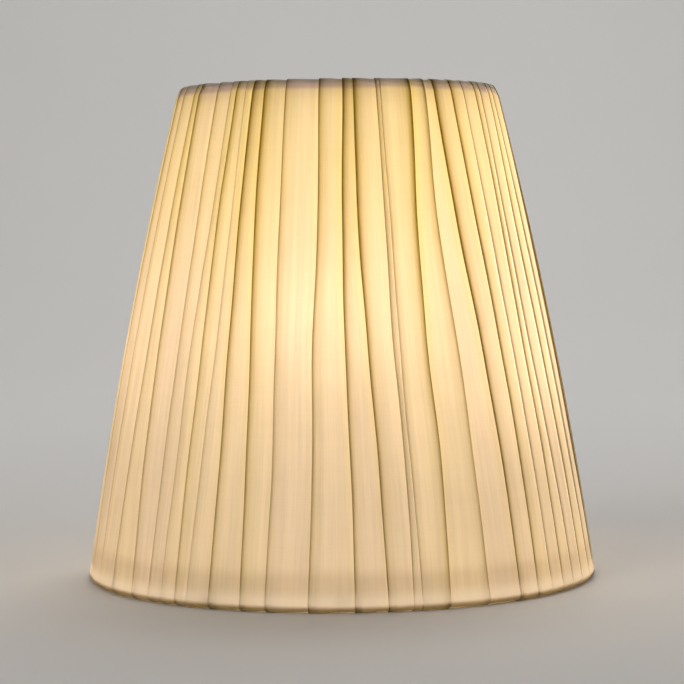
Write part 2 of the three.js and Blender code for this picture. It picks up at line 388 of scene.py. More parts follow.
def side_rows(low):
    """Up the side. The layers are drawn tight at both rings and lie looser between them."""
    rows = []
    step = 0.5 * MM
    for i in range(SIDE_STEPS + 1):
        t = i / SIDE_STEPS
        z = low + (SHOULDER_Z - low) * t
        open_ = HEM_OPEN + 0.28 * smooth(t / 0.03) + 0.6 * smooth(t / 0.3) - 0.65 * smooth((t - 0.6) / 0.4)
        stack = (1.45 * open_ + 0.28) * MM  # room for the layers within the outer radius
        slope = (side_radius(z + step) - side_radius(z - step)) / (2 * step)
        size = math.hypot(1, slope)
        rows.append((side_radius(z) - stack, z, 1 / size, -slope / size, t, open_))
    return rows


def rim_rows(shoulder, around):
    """From the shoulder's radius in to the top ring, over it and down to the raw edge inside."""
    rows = []
    for i in range(1, CREST_STEPS + 1):
        share = i / CREST_STEPS
        tilt = SHOULDER_TILT + (CREST_TILT - SHOULDER_TILT) * share
        radius = shoulder + (CREST_R - shoulder) * share
        rows.append((radius, SHOULDER_Z + CREST_RISE * share, math.cos(tilt), math.sin(tilt), 1, 0.45))
    for i in range(RIM_STEPS + 1):
        share = i / RIM_STEPS
        a = CREST_TILT + (math.pi - CREST_TILT) * share
        out_r, out_z = math.cos(a), math.sin(a)
        rows.append((TOP_R + around * out_r, TOP_Z + around * out_z, out_r, out_z, 1, 0.44 - 0.1 * share))
    rows.append((TOP_R - around, TOP_Z - RIM_RETURN, -1, 0, 1, 0.3))
    return rows


def smooth(x):
    """A soft step from 0 at 0 to 1 at 1."""
    x = min(1.0, max(0.0, x))
    return x * x * (3 - 2 * x)


def fold_angle(fold, t, phase):
    """Degrees from the front of a fold's visible edge, a share t of the way up."""
    wander = 0.07 * math.sin(9 * t + phase) + 0.06 * math.sin(23 * t + 2.3 * phase)
    place = t * (HEIGHTS - 1)
    k = min(HEIGHTS - 2, int(place))
    u = place - k
    before, start, end, after = (fold[min(HEIGHTS - 1, max(0, k + i))] for i in (-1, 0, 1, 2))
    rise, bend = (end - before) / 2, (after - start) / 2
    curve = start + rise * u
    curve += (3 * (end - start) - 2 * rise - bend) * u * u
    curve += (2 * (start - end) + rise + bend) * u**3
    return curve + wander * abs(math.sin(math.pi * t)) ** 0.5


def edge_angle(folds, number, t):
    """The same for a fold's number, where numbers outside the list go on round the shade."""
    turns, i = divmod(number, len(folds))
    return fold_angle(turned_fold(folds[i], 360 * turns), t, PHASE_STEP * i)


def overlap_depth(folds, number, t, degree):
    """Depth of a fold's hidden overlap, within the room that the next fold on that side leaves."""
    fold = folds[number % len(folds)]
    side = fold[SIDE]
    beside = number + side
    room = (edge_angle(folds, beside, t) * degree - edge_angle(folds, number, t) * degree) * side
    shared = folds[beside % len(folds)][SIDE] == -side
    want = fold[DEPTH] * MM * (1 - 0.32 * t)
    return max(0.8 * MM, min(want, room * (0.45 if shared else 0.86)))


def over_layers(distance, edge):
    """Height of a face at a share of its width from a fold whose layers run to the share edge under it."""
    if distance < edge:
        return 2.0 - 0.45 * min(1, distance / edge)
    return 1.55 * (1 - smooth((distance - edge) / (0.98 - edge)))


def face_heights(start_high, end_high, start_depth, end_depth, places, crown):
    """Heights in layers over a face, at places from 0 to 1, clear of the layers tucked under its ends."""
    heights = []
    for u in places:
        high = 0.0
        if start_high:
            high = max(high, over_layers(u, start_depth))
        if end_high:
            high = max(high, over_layers(1 - u, end_depth))
        heights.append(high + crown * math.sin(math.pi * u))
    return heights


def face_tone(number):
    """A number from 0 to 1 that differs from face to face."""
    return random.Random(SEED * 1000 + number).random()


def edge_shade(distance, strength, t):
    """How much a raised face darkens at this distance from its folded edge."""
    crisp = (0.2 + 0.75 * strength) * (0.4 + 0.6 * t)
    crisp *= 1 + 0.9 * (1 - strength) * smooth((t - 0.92) / 0.06)
    crisp_width = (0.26 + 0.3 * strength**3 * (0.3 + 0.7 * t)) * MM
    soft = (0.05 + 0.72 * t * t) * strength
    soft_width = (2.2 + 1.6 * t * strength) * MM
    band = (0.1 + 0.2 * strength) * (1 - 0.6 * t)
    band_width = 1.3 * MM
    shade = crisp * math.exp(-distance / crisp_width) + soft * math.exp(-distance / soft_width)
    return shade + band * math.exp(-((distance / band_width) ** 2))


def strip_glow(distance, strength, t):
    """How yellow a face glows where it runs in under the next fold, as one layer."""
    return strength**2 * (0.2 + 0.8 * t) * math.exp(-((distance / (2.6 * MM)) ** 2))


def band_glow(distance, strength, t):
    """How yellow a raised face glows over the layers tucked under it."""
    return 0.9 * strength * (0.3 + 0.7 * t) * math.exp(-distance / (3.2 * MM))


def fold_layers(fold, edge, depth, turn_size, t):
    """The points of a fold's hidden layers and its rounded edge, from left to right: arc length from the
    front, height in layers, and the painted shade, painted pale light and painted yellow glow there."""
    side, strength = fold[SIDE], fold[STRENGTH]
    hide = 1 - strength * (0.4 + 0.5 * t)  # how far painted pale light holds back the hidden layers' darkness
    # painted dark line along the fold's rounded edge
    line = 0.4 + 0.6 * strength

    # the hidden layers carry painted pale light, growing to full at their hidden turn
    def flat_layer(high, shares):
        for share in shares:
            place = depth * share - turn_size * (share == 1.0)
            path.append((edge + side * place, high, (0.0, hide + (1 - hide) * share, 0)))

    path = []
    flat_layer(0.0, (0.3, 0.75, 1.0))
    for high, bulge in ((0.15, 0.7), (0.5, 1.0), (0.85, 0.7)):
        path.append((edge + side * (depth - turn_size + turn_size * bulge), high, (0.0, 1, 0)))
    flat_layer(1.0, (1.0, 0.5, 0.12))
    for high, bulge in ((1.15, 0.3), (1.5, 0.0), (1.85, 0.3)):
        path.append((edge + side * turn_size * bulge, high, (line, 0, 0)))
    return path if side == RIGHT else path[::-1]


def face_points(folds, number, edges, depths, turn_size, t):
    """The points of the visible face between a fold and the next one, as fold_layers gives them."""
    fold, after = folds[number % len(folds)], folds[(number + 1) % len(folds)]
    start_high, end_high = fold[SIDE] == RIGHT, after[SIDE] == LEFT
    gap = edges[1] - edges[0]
    lip = turn_size * 0.8
    start_depth, end_depth = (min(0.88, (depth + 0.4 * MM) / gap) for depth in depths)
    steps = [0.04 + 0.92 * i / (FACE_STEPS - 1) for i in range(FACE_STEPS)]
    shares = [0.5 - 0.5 * math.cos(math.pi * step) for step in steps]  # closer together near the folds
    crown = 0.16 + 0.1 * math.sin(5.1 * number)
    ripple = 0.1 * math.sin(math.pi * t)
    points = []
    heights = face_heights(start_high, end_high, start_depth, end_depth, shares, crown)
    for share, high in zip(shares, heights):
        turns = 1.5 * share + 0.31 * number
        wave = ripple * math.sin(2 * math.pi * turns + 3 * t) * math.sin(math.pi * share)
        # painted shade and painted yellow glow from the folds at both ends of the face
        dark, painted_yellow_glow = 0.0, 0.0
        for distance, strength, raised in (
            (share * gap, fold[STRENGTH], start_high),
            ((1 - share) * gap, after[STRENGTH], end_high),
        ):
            if raised:
                dark += edge_shade(distance, strength, t)
                painted_yellow_glow += band_glow(distance, strength, t)
            else:
                painted_yellow_glow += strip_glow(distance, strength, t)
        place = edges[0] + lip * start_high + (gap - lip * (start_high + end_high)) * share
        points.append((place, high + wave, (min(1, dark), 0, painted_yellow_glow)))
    return points


def cross_section(folds, first, last, t, reach, turn_size):
    """One row of a length of cloth, laid out from left to right: the points of its folds and faces, each with
    the tone of its face."""
    degree = reach * DEG
    numbers = range(first, last + 1)
    edges = [edge_angle(folds, number, t) * degree for number in numbers]
    depths = [overlap_depth(folds, number, t, degree) for number in numbers]
    section = []
    for k, number in enumerate(numbers):
        i = number % len(folds)
        path = fold_layers(folds[i], edges[k], depths[k], turn_size, t)
        if number == first:
            path = path[JOIN_POINTS:]
        if number == last:
            path = path[:JOIN_POINTS]
        else:
            path += face_points(folds, number, edges[k : k + 2], depths[k : k + 2], turn_size, t)
        section += [(*point, face_tone(i)) for point in path]
    return section


def near_rings(shades, z, out_r, out_z, t, tone):
    """A point's (painted shade, painted pale light, painted yellow glow) with what the rings and the hem's
    roll do to the light, and how far a ring's wire is behind it, which sets its painted shadow."""
    dark, painted_pale_light, painted_yellow_glow = shades
    # painted shade on the underside of the hem's roll
    hem = 0.9 * smooth((0.3 - out_z) / 0.85) * smooth((out_r + 0.3) / 0.5) * (t < 0.05)
    # painted pale light low on the hem
    pale = 0.75 * (1 - hem) * smooth((PALE_Z - z) / PALE_RUN) * smooth((out_r - 0.2) / 0.4)
    inside = smooth(-2 * out_r) * (t == 0)  # the hidden return lets all its light on to the hem
    # painted shadow of the top ring's wire, from TOP_BAND_Z up
    over = smooth((z - TOP_BAND_Z - TOP_BAND_SHIFT * (tone - 0.5)) / TOP_BAND_RUN)
    deep = 0.42 * smooth((t - 0.5) / 0.4) * (1 - over)  # painted yellow glow that grows towards the top, where the folds crowd together
    crest = 1.0  # how much of a fold's darkness is left over the top ring
    if out_r > 0:
        crest = 1 - 0.75 * smooth((out_z - 0.7) / 0.3)
    elif t == 1:
        crest = 0.25
    shades = (min(1, max(dark * crest, hem)), max(painted_pale_light, inside, pale), min(1, painted_yellow_glow + deep))
    return shades, max(hem, over * (1 - 0.5 * smooth((z - TOP_LIGHT_Z) / TOP_LIGHT_RUN)))


def pleat_rows(folds, first, last):
    """One length of cloth, from the hidden edge of fold number first to that of fold number last. Gives its
    rows of points and, in the same rows, their places on the flat cloth, their painted shade and glow and how
    far a ring is behind them."""
    rows, places, shades, over_ring = [], [], [], []
    along = 0.0
    previous = None
    for radius, z, out_r, out_z, t, open_ in base_profile():
        if previous:
            along += math.hypot(radius - previous[0], z - previous[1])
        previous = (radius, z)
        reach = side_radius(BOTTOM_Z + (SHOULDER_Z - BOTTOM_Z) * t)  # turns arc lengths into angles
        layer = LAYER * open_
        row, place_row, shade_row, over_row = [], [], [], []
        across = 0.0
        last_point = None
        section = cross_section(folds, first, last, t, reach, min(TURN_R, 0.5 * layer))
        for arc_length, high, shade, tone in section:
            if last_point:
                across += math.hypot(arc_length - last_point[0], (high - last_point[1]) * layer)
            last_point = (arc_length, high)
            angle = arc_length / reach
            r, height = radius + out_r * high * layer, z + out_z * high * layer
            shade, over = near_rings(shade, height, out_r, out_z, t, tone)
            row.append((r * math.sin(angle), -r * math.cos(angle), height))
            place_row.append((across, along, tone))
            shade_row.append(shade)
            over_row.append(over)
        rows.append(row)
        places.append(place_row)
        shades.append(shade_row)
        over_ring.append(over_row)
    return rows, places, shades, over_ring


def make_cover(material):
    """The pleated cover as its five joined lengths of cloth."""
    folds = all_folds()
    joins = [i for i, fold in enumerate(folds) if fold[JOIN]] + [len(folds)]
    panels = []
    for number, (first, last) in enumerate(zip(joins, joins[1:]), 1):
        rows, places, shades, over_ring = pleat_rows(folds, first, last)
        points = [point for row in rows for point in row]
        piece = mesh_object(f"pleated_panel_{number}", points, grid_faces(len(rows), len(rows[0])), material)
        middle = places[len(places) // 2]  # one row's places across keep the grain straight up the side
        grain = [(column[0], row[0][1], column[2]) for row in places for column in middle]
        point_values(piece, "flat_place", "FLOAT_VECTOR", grain)
        # painted shade, painted pale light and painted yellow glow at each point, then how far a ring's
        # painted shadow reaches
        point_values(piece, "fold", "FLOAT_VECTOR", [shade for row in shades for shade in row])
        point_values(piece, "over_ring", "FLOAT", [over for row in over_ring for over in row])
        width = max(row[-1][0] for row in places)
        length = places[-1][0][1]
        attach(piece, "shade")
        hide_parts(f"cover_panel_{number}")
        panels.append((piece, width, length, surface_area(piece)))
    return [panel[0] for panel in panels]


def surface_area(piece):
    return sum(face.area for face in piece.data.polygons)


# ---- lining, tapes and their stitches ----
LINING_INSET = 6 * MM  # from the outside of the pleats
LINING_SEAM = 15 * DEG  # from +X
LINING_ROWS, LINING_COLUMNS = 70, 120
SEAM_ALLOWANCE = 4 * MM
SEAM_GAP = 0.12 * DEG  # from a seam to each half
FLAP_STEPS = (1, 0.6, 0.25)  # shares of the seam allowance, which is turned in
START_LEAN, END_LEAN = 1.1 * DEG, 0.55 * DEG  # both flaps are pressed to the same side
TAPE_INSET = 6.7 * MM
TAPE_THICK = 0.7 * MM
TAPE_COLUMNS, TAPE_STEPS = 720, 14
STITCH_PITCH = 5.2 * MM
STITCH_MARGIN = 1.5 * MM  # from a tape's edge
STITCH_DEPTH = 0.16 * MM  # of a stitch's middle line in front of the tape
STITCH_RINGS, STITCH_SIDES = 7, 6


def lining_row(number, z, middle, slack):
    """A row across one half of the lining: radius, angle from +X and place across the flat cloth."""
    radius = side_radius(z) - LINING_INSET
    start = LINING_SEAM + (number - 1) * math.pi
    low, high = start + SEAM_GAP, start + math.pi - SEAM_GAP
    row = []
    for share in FLAP_STEPS:
        flap = SEAM_ALLOWANCE * share
        row.append((radius - flap, low + START_LEAN * share, -flap))
    for i in range(LINING_COLUMNS):
        share = i / (LINING_COLUMNS - 1)
        a = low + (high - low) * share
        pull = 0.5 * slack * (math.sin(17 * a + 8 * z) + 0.6 * math.sin(41 * a + 1.3 * number))
        edge = min(1, share * 30, (1 - share) * 30)
        row.append((radius - 0.1 * MM + pull * edge, a, (a - start) * middle))
    for share in reversed(FLAP_STEPS):
        flap = SEAM_ALLOWANCE * share
        row.append((radius - flap, high + END_LEAN * share, math.pi * middle + flap))
    return row


def make_lining(material):
    """The lining as two halves, a little uneven between their edges, with the seam allowances turned in."""
    low, high = (corner.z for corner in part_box("lining_panel_1"))
    middle = side_radius((low + high) / 2) - LINING_INSET
    length = high - low
    pieces = []
    for number in (1, 2):
        points, places = [], []
        for i in range(LINING_ROWS):
            up = i / (LINING_ROWS - 1)
            z = low + length * up
            for r, a, across in lining_row(number, z, middle, 0.28 * MM * math.sin(math.pi * up)):
                points.append((r * math.cos(a), r * math.sin(a), z))
                places.append((across, z, 0))
        faces = grid_faces(LINING_ROWS, LINING_COLUMNS + 2 * len(FLAP_STEPS))
        piece = mesh_object(f"lining_half_{number}", points, faces, material)
        point_values(piece, "flat_place", "FLOAT_VECTOR", places)
        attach(piece, "shade")
        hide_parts(f"lining_panel_{number}")
        pieces.append(piece)
    return pieces


def turned_faces(profile, around, start=0.0, span=2 * math.pi):
    """A (radius, height) profile turned about the axis; a full turn closes on itself."""
    full = span > 2 * math.pi - 1e-6
    steps = around if full else around + 1
    points = []
    for i in range(steps):
        a = start + span * i / around
        for r, z in profile:
            points.append((r * math.cos(a), r * math.sin(a), z))
    faces = grid_faces(steps, len(profile), close_rows=full, close_columns=True)
    if not full:
        n = len(profile)
        faces.append(tuple(range(n)))
        faces.append(tuple(reversed(range((steps - 1) * n, steps * n))))
    return points, faces


def face_out(piece):
    """Turns the faces of a closed piece outward."""
    work = bmesh.new()
    work.from_mesh(piece.data)
    bmesh.ops.recalc_face_normals(work, faces=work.faces)
    work.to_mesh(piece.data)
    work.free()
    return piece


def make_tape(name, node, material):
    """A ribbed woven tape round the lining's edge, with thicker selvedges and rounded edges."""
    low, high = (corner.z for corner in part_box(node))
    outside, inside = [], []
    for i in range(TAPE_STEPS + 1):
        z = low + (high - low) * i / TAPE_STEPS
        radius = side_radius(z) - TAPE_INSET
        from_edge = min(i, TAPE_STEPS - i)
        selvedge = 0.12 * MM if from_edge <= 1 else 0
        lip = 0.25 * MM if from_edge == 0 else 0
        outside.append((radius - lip, z))
        inside.append((radius - TAPE_THICK - selvedge + 0.3 * lip, z))
    profile = outside + inside[::-1]
    points, faces = turned_faces(profile, TAPE_COLUMNS)
    ribbed = []
    for k, (x, y, z) in enumerate(points):
        column, place = divmod(k, len(profile))
        i = place % (TAPE_STEPS + 1)
        rib = place > TAPE_STEPS and column % 2 and min(i, TAPE_STEPS - i) > 1
        grow = 1 + (0.07 * MM if rib else 0) / math.hypot(x, y)
        ribbed.append((x * grow, y * grow, z))
    piece = face_out(mesh_object(name, ribbed, faces, material))
    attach(piece, "shade")
    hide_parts(node)
    return piece


def stitch_points(radius, middle, half, z):
    """One stitch: a short thread that swells and rises between the two holes it goes into."""
    points = []
    for i in range(STITCH_RINGS):
        share = i / (STITCH_RINGS - 1) * 2 - 1
        a = middle + half * share
        swell = math.cos(share * math.pi / 2)
        rise = 0.3 * MM * swell**0.6 - 0.12 * MM
        size = 0.24 * MM * (0.5 + 0.5 * swell)
        for k in range(STITCH_SIDES):
            b = 2 * math.pi * k / STITCH_SIDES
            r = radius - rise + size * math.cos(b)
            points.append((r * math.cos(a), r * math.sin(a), z + size * math.sin(b)))
    return points


def make_stitches(name, node, material):
    """Two rows of machine stitches along a tape's edges."""
    low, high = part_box(node)
    points, faces = [], []
    for z in (low.z + STITCH_MARGIN, high.z - STITCH_MARGIN):
        radius = side_radius(z) - TAPE_INSET - TAPE_THICK - STITCH_DEPTH
        count = round(2 * math.pi * radius / STITCH_PITCH)
        half = 0.36 * 2 * math.pi / count
        for i in range(count):
            faces += tube_faces(STITCH_RINGS, STITCH_SIDES, len(points))
            points += stitch_points(radius, 2 * math.pi * i / count, half, z)
    piece = face_out(mesh_object(name, points, faces, material))
    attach(piece, "shade")
    return piece


# ---- wire frame ----
RIB_R = 1.2 * MM
RIB_INSET = 4.15 * MM  # from the outside of the pleats to a rib's middle
RIB_FOOT, RIB_HEAD = BOTTOM_Z + WIRE_R + CLOTH_CLEAR, TOP_Z - WIRE_R - CLOTH_CLEAR
RIB_DEGREES = tuple(range(30, 360, 60))  # from +X
RIB_STEPS = 32
ARM_R = 1.5 * MM
ARM_FOOT = 12 * MM  # straight run at the bottom ring
ARM_RISE = 22 * MM  # how far in the crank reaches its full height
ARM_BEND = 7 * MM  # length of each side of a bend
ARM_DEGREES = (0, 120, 240)
RING_SIDES, RING_COLUMNS = 20, 180
FITTER_HOLE_R = 21 * MM


def tube_mesh(name, path, radius, material, sides=16):
    """Round wire along a list of points, with chamfered ends."""
    points = []
    path = [Vector(p) for p in path]
    last = len(path) - 1
    side = (path[1] - path[0]).normalized().orthogonal().normalized()
    for i in range(last + 3):
        k = min(max(i - 1, 0), last)
        direction = (path[min(k + 1, last)] - path[max(k - 1, 0)]).normalized()
        side = (side - direction * side.dot(direction)).normalized()
        other = direction.cross(side)
        size = 0.55 if i in (0, last + 2) else 1.0
        inset = 0.3 if i == 1 else -0.3 if i == last + 1 else 0.0
        at = path[k] + direction * radius * inset
        for j in range(sides):
            a = 2 * math.pi * j / sides
            points.append(at + (side * math.cos(a) + other * math.sin(a)) * radius * size)
    return face_out(mesh_object(name, points, tube_faces(last + 3, sides), material))


def let_light_past(piece):
    """The cloth shows no shadow of a wire that lies against it."""
    piece.visible_shadow = piece.visible_diffuse = piece.visible_transmission = False


def make_ring(name, node, centre_r, centre_z, steel):
    section = []
    for k in range(RING_SIDES):
        a = 2 * math.pi * k / RING_SIDES
        section.append((centre_r + WIRE_R * math.cos(a), centre_z + WIRE_R * math.sin(a)))
    points, faces = turned_faces(section, RING_COLUMNS)
    ring = face_out(mesh_object(name, points, faces, steel))
    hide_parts(node)
    return ring


def make_ribs(steel):
    ribs = []
    for number, degrees in enumerate(RIB_DEGREES, 1):
        a = degrees * DEG
        path = []
        for i in range(RIB_STEPS + 1):
            z = RIB_FOOT + (RIB_HEAD - RIB_FOOT) * i / RIB_STEPS
            r = side_radius(z) - RIB_INSET
            path.append((r * math.cos(a), r * math.sin(a), z))
        rib = tube_mesh(f"rib_wire_{number}", path, RIB_R, steel)
        let_light_past(rib)
        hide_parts(f"rib_{number}")
        ribs.append(rib)
    return ribs


def make_frame(steel):
    """The rings, ribs, arms and fitter, smooth, with their weld beads."""
    bottom = make_ring("bottom_ring_wire", "bottom_ring", BOTTOM_R, BOTTOM_Z, steel)
    let_light_past(bottom)
    top = make_ring("top_ring_wire", "top_ring", TOP_R, TOP_Z, steel)
    for piece in (bottom, top, *make_ribs(steel), *make_arms(steel), make_fitter(steel), make_welds(steel)):
        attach(piece, "shade")


def bend_points(corner, before, after, steps=8):
    """A rounded corner: a quadratic curve that starts and ends ARM_BEND from it."""
    start = corner - (corner - before).normalized() * ARM_BEND
    end = corner + (after - corner).normalized() * ARM_BEND
    points = []
    for i in range(steps + 1):
        t = i / steps
        points.append(start * (1 - t) ** 2 + corner * 2 * t * (1 - t) + end * t * t)
    return points


def make_arms(steel):
    """Three cranked wires from the bottom ring in and up to the fitter."""
    low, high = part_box("fitter_arm_1")
    outer, inner = high.x, low.x
    foot, head = low.z + ARM_R, high.z - ARM_R
    knee_low = Vector((outer - ARM_FOOT, 0, foot))
    knee_high = Vector((knee_low.x - ARM_RISE, 0, head))
    start, end = Vector((outer, 0, foot)), Vector((inner, 0, head))
    path = [start, *bend_points(knee_low, start, knee_high), *bend_points(knee_high, knee_low, end), end]
    arms = []
    for number, degrees in enumerate(ARM_DEGREES, 1):
        turn = Matrix.Rotation(degrees * DEG, 3, "Z")
        arm = tube_mesh(f"fitter_arm_wire_{number}", [turn @ p for p in path], ARM_R, steel)
        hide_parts(f"fitter_arm_{number}")
        arms.append(arm)
    return arms


def rounded_profile(corners, radius, steps=3):
    """A closed (radius, height) outline with each corner rounded."""
    profile = []
    n = len(corners)
    for i, corner in enumerate(corners):
        here = Vector(corner)
        before, after = Vector(corners[i - 1]), Vector(corners[(i + 1) % n])
        start = here + (before - here).normalized() * radius
        end = here + (after - here).normalized() * radius
        for k in range(steps + 1):
            t = k / steps
            profile.append(tuple(start * (1 - t) ** 2 + here * 2 * t * (1 - t) + end * t * t))
    return profile


def make_fitter(steel):
    low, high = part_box("fitter_ring")
    corners = [(FITTER_HOLE_R, low.z), (high.x, low.z), (high.x, high.z), (FITTER_HOLE_R, high.z)]
    points, faces = turned_faces(rounded_profile(corners, 0.4 * MM), 144)
    ring = face_out(mesh_object("fitter_plate", points, faces, steel))
    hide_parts("fitter_ring")
    return ring


def make_welds(steel):
    """Small uneven beads where the wires meet."""
    draw = random.Random(SEED + 1)
    arm_low, arm_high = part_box("fitter_arm_1")
    foot_r, head_r = side_radius(RIB_FOOT) - RIB_INSET, side_radius(RIB_HEAD) - RIB_INSET
    bite = 0.1 * MM
    spots = []  # degrees from +X, radius, height, and half sizes in millimetres: outward, sideways and up
    for degrees in ARM_DEGREES:
        spots.append((degrees, arm_high.x + bite, arm_low.z + ARM_R, (1.1, 2.3, 1.9)))
        spots.append((degrees, arm_low.x - bite, arm_high.z - ARM_R, (1.6, 2.4, 1.1)))
    for degrees in RIB_DEGREES:
        spots.append((degrees, foot_r + 3 * bite, RIB_FOOT - bite, (1.1, 1.9, 0.9)))
        spots.append((degrees, head_r - bite, RIB_HEAD + bite, (1.1, 1.9, 0.9)))
    points, faces = [], []
    rings, sides = 7, 12
    for degrees, radius, height, size in spots:
        a = degrees * DEG
        faces += tube_faces(rings, sides, len(points))
        lumps = [draw.uniform(0.92, 1.08) for _ in range(rings * sides)]
        for i in range(rings):
            lift = math.pi * (i + 0.5) / rings
            for j in range(sides):
                b = 2 * math.pi * j / sides
                grow = lumps[i * sides + j] * MM
                out = radius + size[0] * grow * math.sin(lift) * math.cos(b)
                aside = size[1] * grow * math.sin(lift) * math.sin(b)
                up = size[2] * grow * math.cos(lift)
                x, y = out * math.cos(a) - aside * math.sin(a), out * math.sin(a) + aside * math.cos(a)
                points.append((x, y, height + up))
    return face_out(mesh_object("weld_beads", points, faces, steel))


# ---- reducer ----
FLANGE_PLATE = 1.4 * MM
REDUCER_HOLE_R, BOSS_R = 14.5 * MM, 16.1 * MM
BOSS_DEPTH = 1.6 * MM
TAB_IN_R, TAB_OUT_R = 19.05 * MM, 20.65 * MM
TABS = 6
TAB_WIDE, GUSSET_WIDE = 40.6 * DEG, 2.6 * DEG
BURIED = 0.2 * MM  # how far one part runs into the next


def make_reducer(plastic):
    """The drop-in reducer: a flange with a boss round its hole, sprung tabs and a gusset behind each."""
    low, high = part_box("adapter_ring")
    seat = high.z - FLANGE_PLATE
    boss_end = seat - BOSS_DEPTH
    body = rounded_profile([
        (BOSS_R, seat), (BOSS_R, boss_end), (REDUCER_HOLE_R, boss_end),
        (REDUCER_HOLE_R, high.z), (high.x, high.z), (high.x, seat),
    ], 0.35 * MM)
    tab_top = seat + BURIED
    tab = rounded_profile([
        (TAB_IN_R, low.z), (TAB_OUT_R, low.z), (TAB_OUT_R, tab_top), (TAB_IN_R, tab_top),
    ], 0.3 * MM)
    gusset = [
        (BOSS_R - BURIED, boss_end + BURIED), (TAB_IN_R + BURIED, boss_end - 1 * MM),
        (TAB_IN_R + BURIED, tab_top), (BOSS_R - BURIED, tab_top),
    ]
    parts = [turned_faces(body, 144)]
    for k in range(TABS):
        middle = k * 2 * math.pi / TABS
        parts.append(turned_faces(tab, 16, middle - TAB_WIDE / 2, TAB_WIDE))
        parts.append(turned_faces(gusset, 1, middle - GUSSET_WIDE / 2, GUSSET_WIDE))
    points, faces = [], []
    for part_points, part_faces in parts:
        first = len(points)
        points += part_points
        faces += [tuple(first + i for i in face) for face in part_faces]
    piece = face_out(mesh_object("reducer", points, faces, plastic))
    piece.data.set_sharp_from_angle(angle=40 * DEG)
    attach(piece, "adapter")
    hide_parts("adapter_ring")


# ---- hard materials ----
def painted_steel():
    """Cream paint over wire, a little lumpy, with a faint gloss."""
    n = Nodes("painted_steel")
    place = n.node("ShaderNodeTexCoord").outputs["Object"]
    fine, broad = n.noise(place, 2600.0, 2.0), n.noise(place, 160.0, 3.0)
    colour = n.mix(n.remap(broad, 0.35, 0.7, 0.0, 1.0), (0.8, 0.78, 0.72, 1), (0.86, 0.85, 0.81, 1))
    height = n.math("ADD", n.math("MULTIPLY", fine, 0.4), broad)
    paint = n.node("ShaderNodeBsdfPrincipled", {
        "Base Color": colour,
        "Roughness": n.remap(fine, 0.3, 0.7, 0.34, 0.5),
        "Normal": n.bump(height, 0.25, 0.15 * MM),
        "Coat Weight": 0.15,
    })
    return n.finish(paint.outputs[0])


def moulded_plastic():
    """Off-white plastic with a fine spark-eroded skin."""
    n = Nodes("moulded_plastic")
    place = n.node("ShaderNodeTexCoord").outputs["Object"]
    fine, broad = n.noise(place, 3800.0, 1.0), n.noise(place, 90.0, 2.0)
    body = n.node("ShaderNodeBsdfPrincipled", {
        "Base Color": n.mix(broad, (0.83, 0.82, 0.78, 1), (0.88, 0.87, 0.83, 1)),
        "Roughness": n.remap(fine, 0.3, 0.7, 0.42, 0.58),
        "Normal": n.bump(fine, 0.2, 0.06 * MM),
        "Subsurface Weight": 0.1,
        "Subsurface Radius": (0.002, 0.002, 0.0015),
    })
    return n.finish(body.outputs[0])


def tape_material(name, colour, pitch):
    """Ribbed woven tape or thread."""
    n = Nodes(name)
    place = n.node("ShaderNodeTexCoord").outputs["Object"]
    height = n.node("ShaderNodeSeparateXYZ", {0: place}).outputs[2]
    wave = n.math("SINE", n.math("MULTIPLY", height, 2 * math.pi / pitch))
    fine = n.noise(place, 1500.0, 3.0)
    tone = n.math("ADD", n.remap(fine, 0.3, 0.7, 0.9, 1.04), n.math("MULTIPLY", wave, 0.04))
    shade = n.mix(1.0, colour, grey(n, tone), "MULTIPLY")
    front = n.node("ShaderNodeBsdfPrincipled", {
        "Base Color": shade,
        "Roughness": 0.85,
        "Sheen Weight": 0.2,
        "Normal": n.bump(n.math("ADD", n.math("MULTIPLY", wave, 0.5), fine), 0.4, 0.1 * MM),
    })
    behind = n.node("ShaderNodeBsdfTranslucent", {"Color": shade})
    return n.finish(n.mixed(TAPE_SHARE, front, behind))


# ---- stage, lights and camera ----
STAGE_BACK, STAGE_SWEEP, STAGE_HIGH = 1.2, 0.8, 3.0  # start of the floor's sweep, its radius, and top
BULB_COLOUR = (1.0, 0.728, 0.46)
BULB_X = 0.02  # the bulb sits a little to the right
BULBS = (("bulb", 0.145, 0.2), ("bulb_high", 0.212, 0.188))  # height and power
GLOW_R = 0.066
GLOWS = ((-6, 0.13, 0.042), (62, 0.1, 0.056), (126, 0.13, 0.042), (198, 0.13, 0.042), (270, 0.112, 0.047))
HEM_LAMPS, HEM_LAMP_R, HEM_LAMP_Z = 18, 0.102, 0.0045
HEM_POWER = 0.0042
EYE = Vector((0.001, -1.197, 0.180))
PITCH, LEAN = 2.9 * DEG, -0.553 * DEG
LENS, SENSOR = 122.5, 36  # in millimetres


def make_stage():
    """A pale floor that sweeps up into a backdrop behind the shade."""
    n = Nodes("stage_paint")
    place = n.node("ShaderNodeTexCoord").outputs["Object"]
    tone = n.mix(n.noise(place, 3.0, 3.0), (0.78, 0.77, 0.75, 1), (0.82, 0.81, 0.79, 1))
    paint = n.finish(n.node("ShaderNodeBsdfPrincipled", {"Base Color": tone, "Roughness": 0.9}).outputs[0])
    profile = [(-3.0, 0.0)] + [(0.6 + 0.3 * i, 0.0) for i in range(3)]
    for degrees in range(0, 91, 6):
        a = degrees * DEG
        profile.append((STAGE_BACK + STAGE_SWEEP * math.sin(a), STAGE_SWEEP - STAGE_SWEEP * math.cos(a)))
    profile.append((STAGE_BACK + STAGE_SWEEP, STAGE_HIGH))
    points = [(x, y, z) for y, z in profile for x in (-4.0, 4.0)]
    mesh_object("stage_floor", points, grid_faces(len(profile), 2), paint)


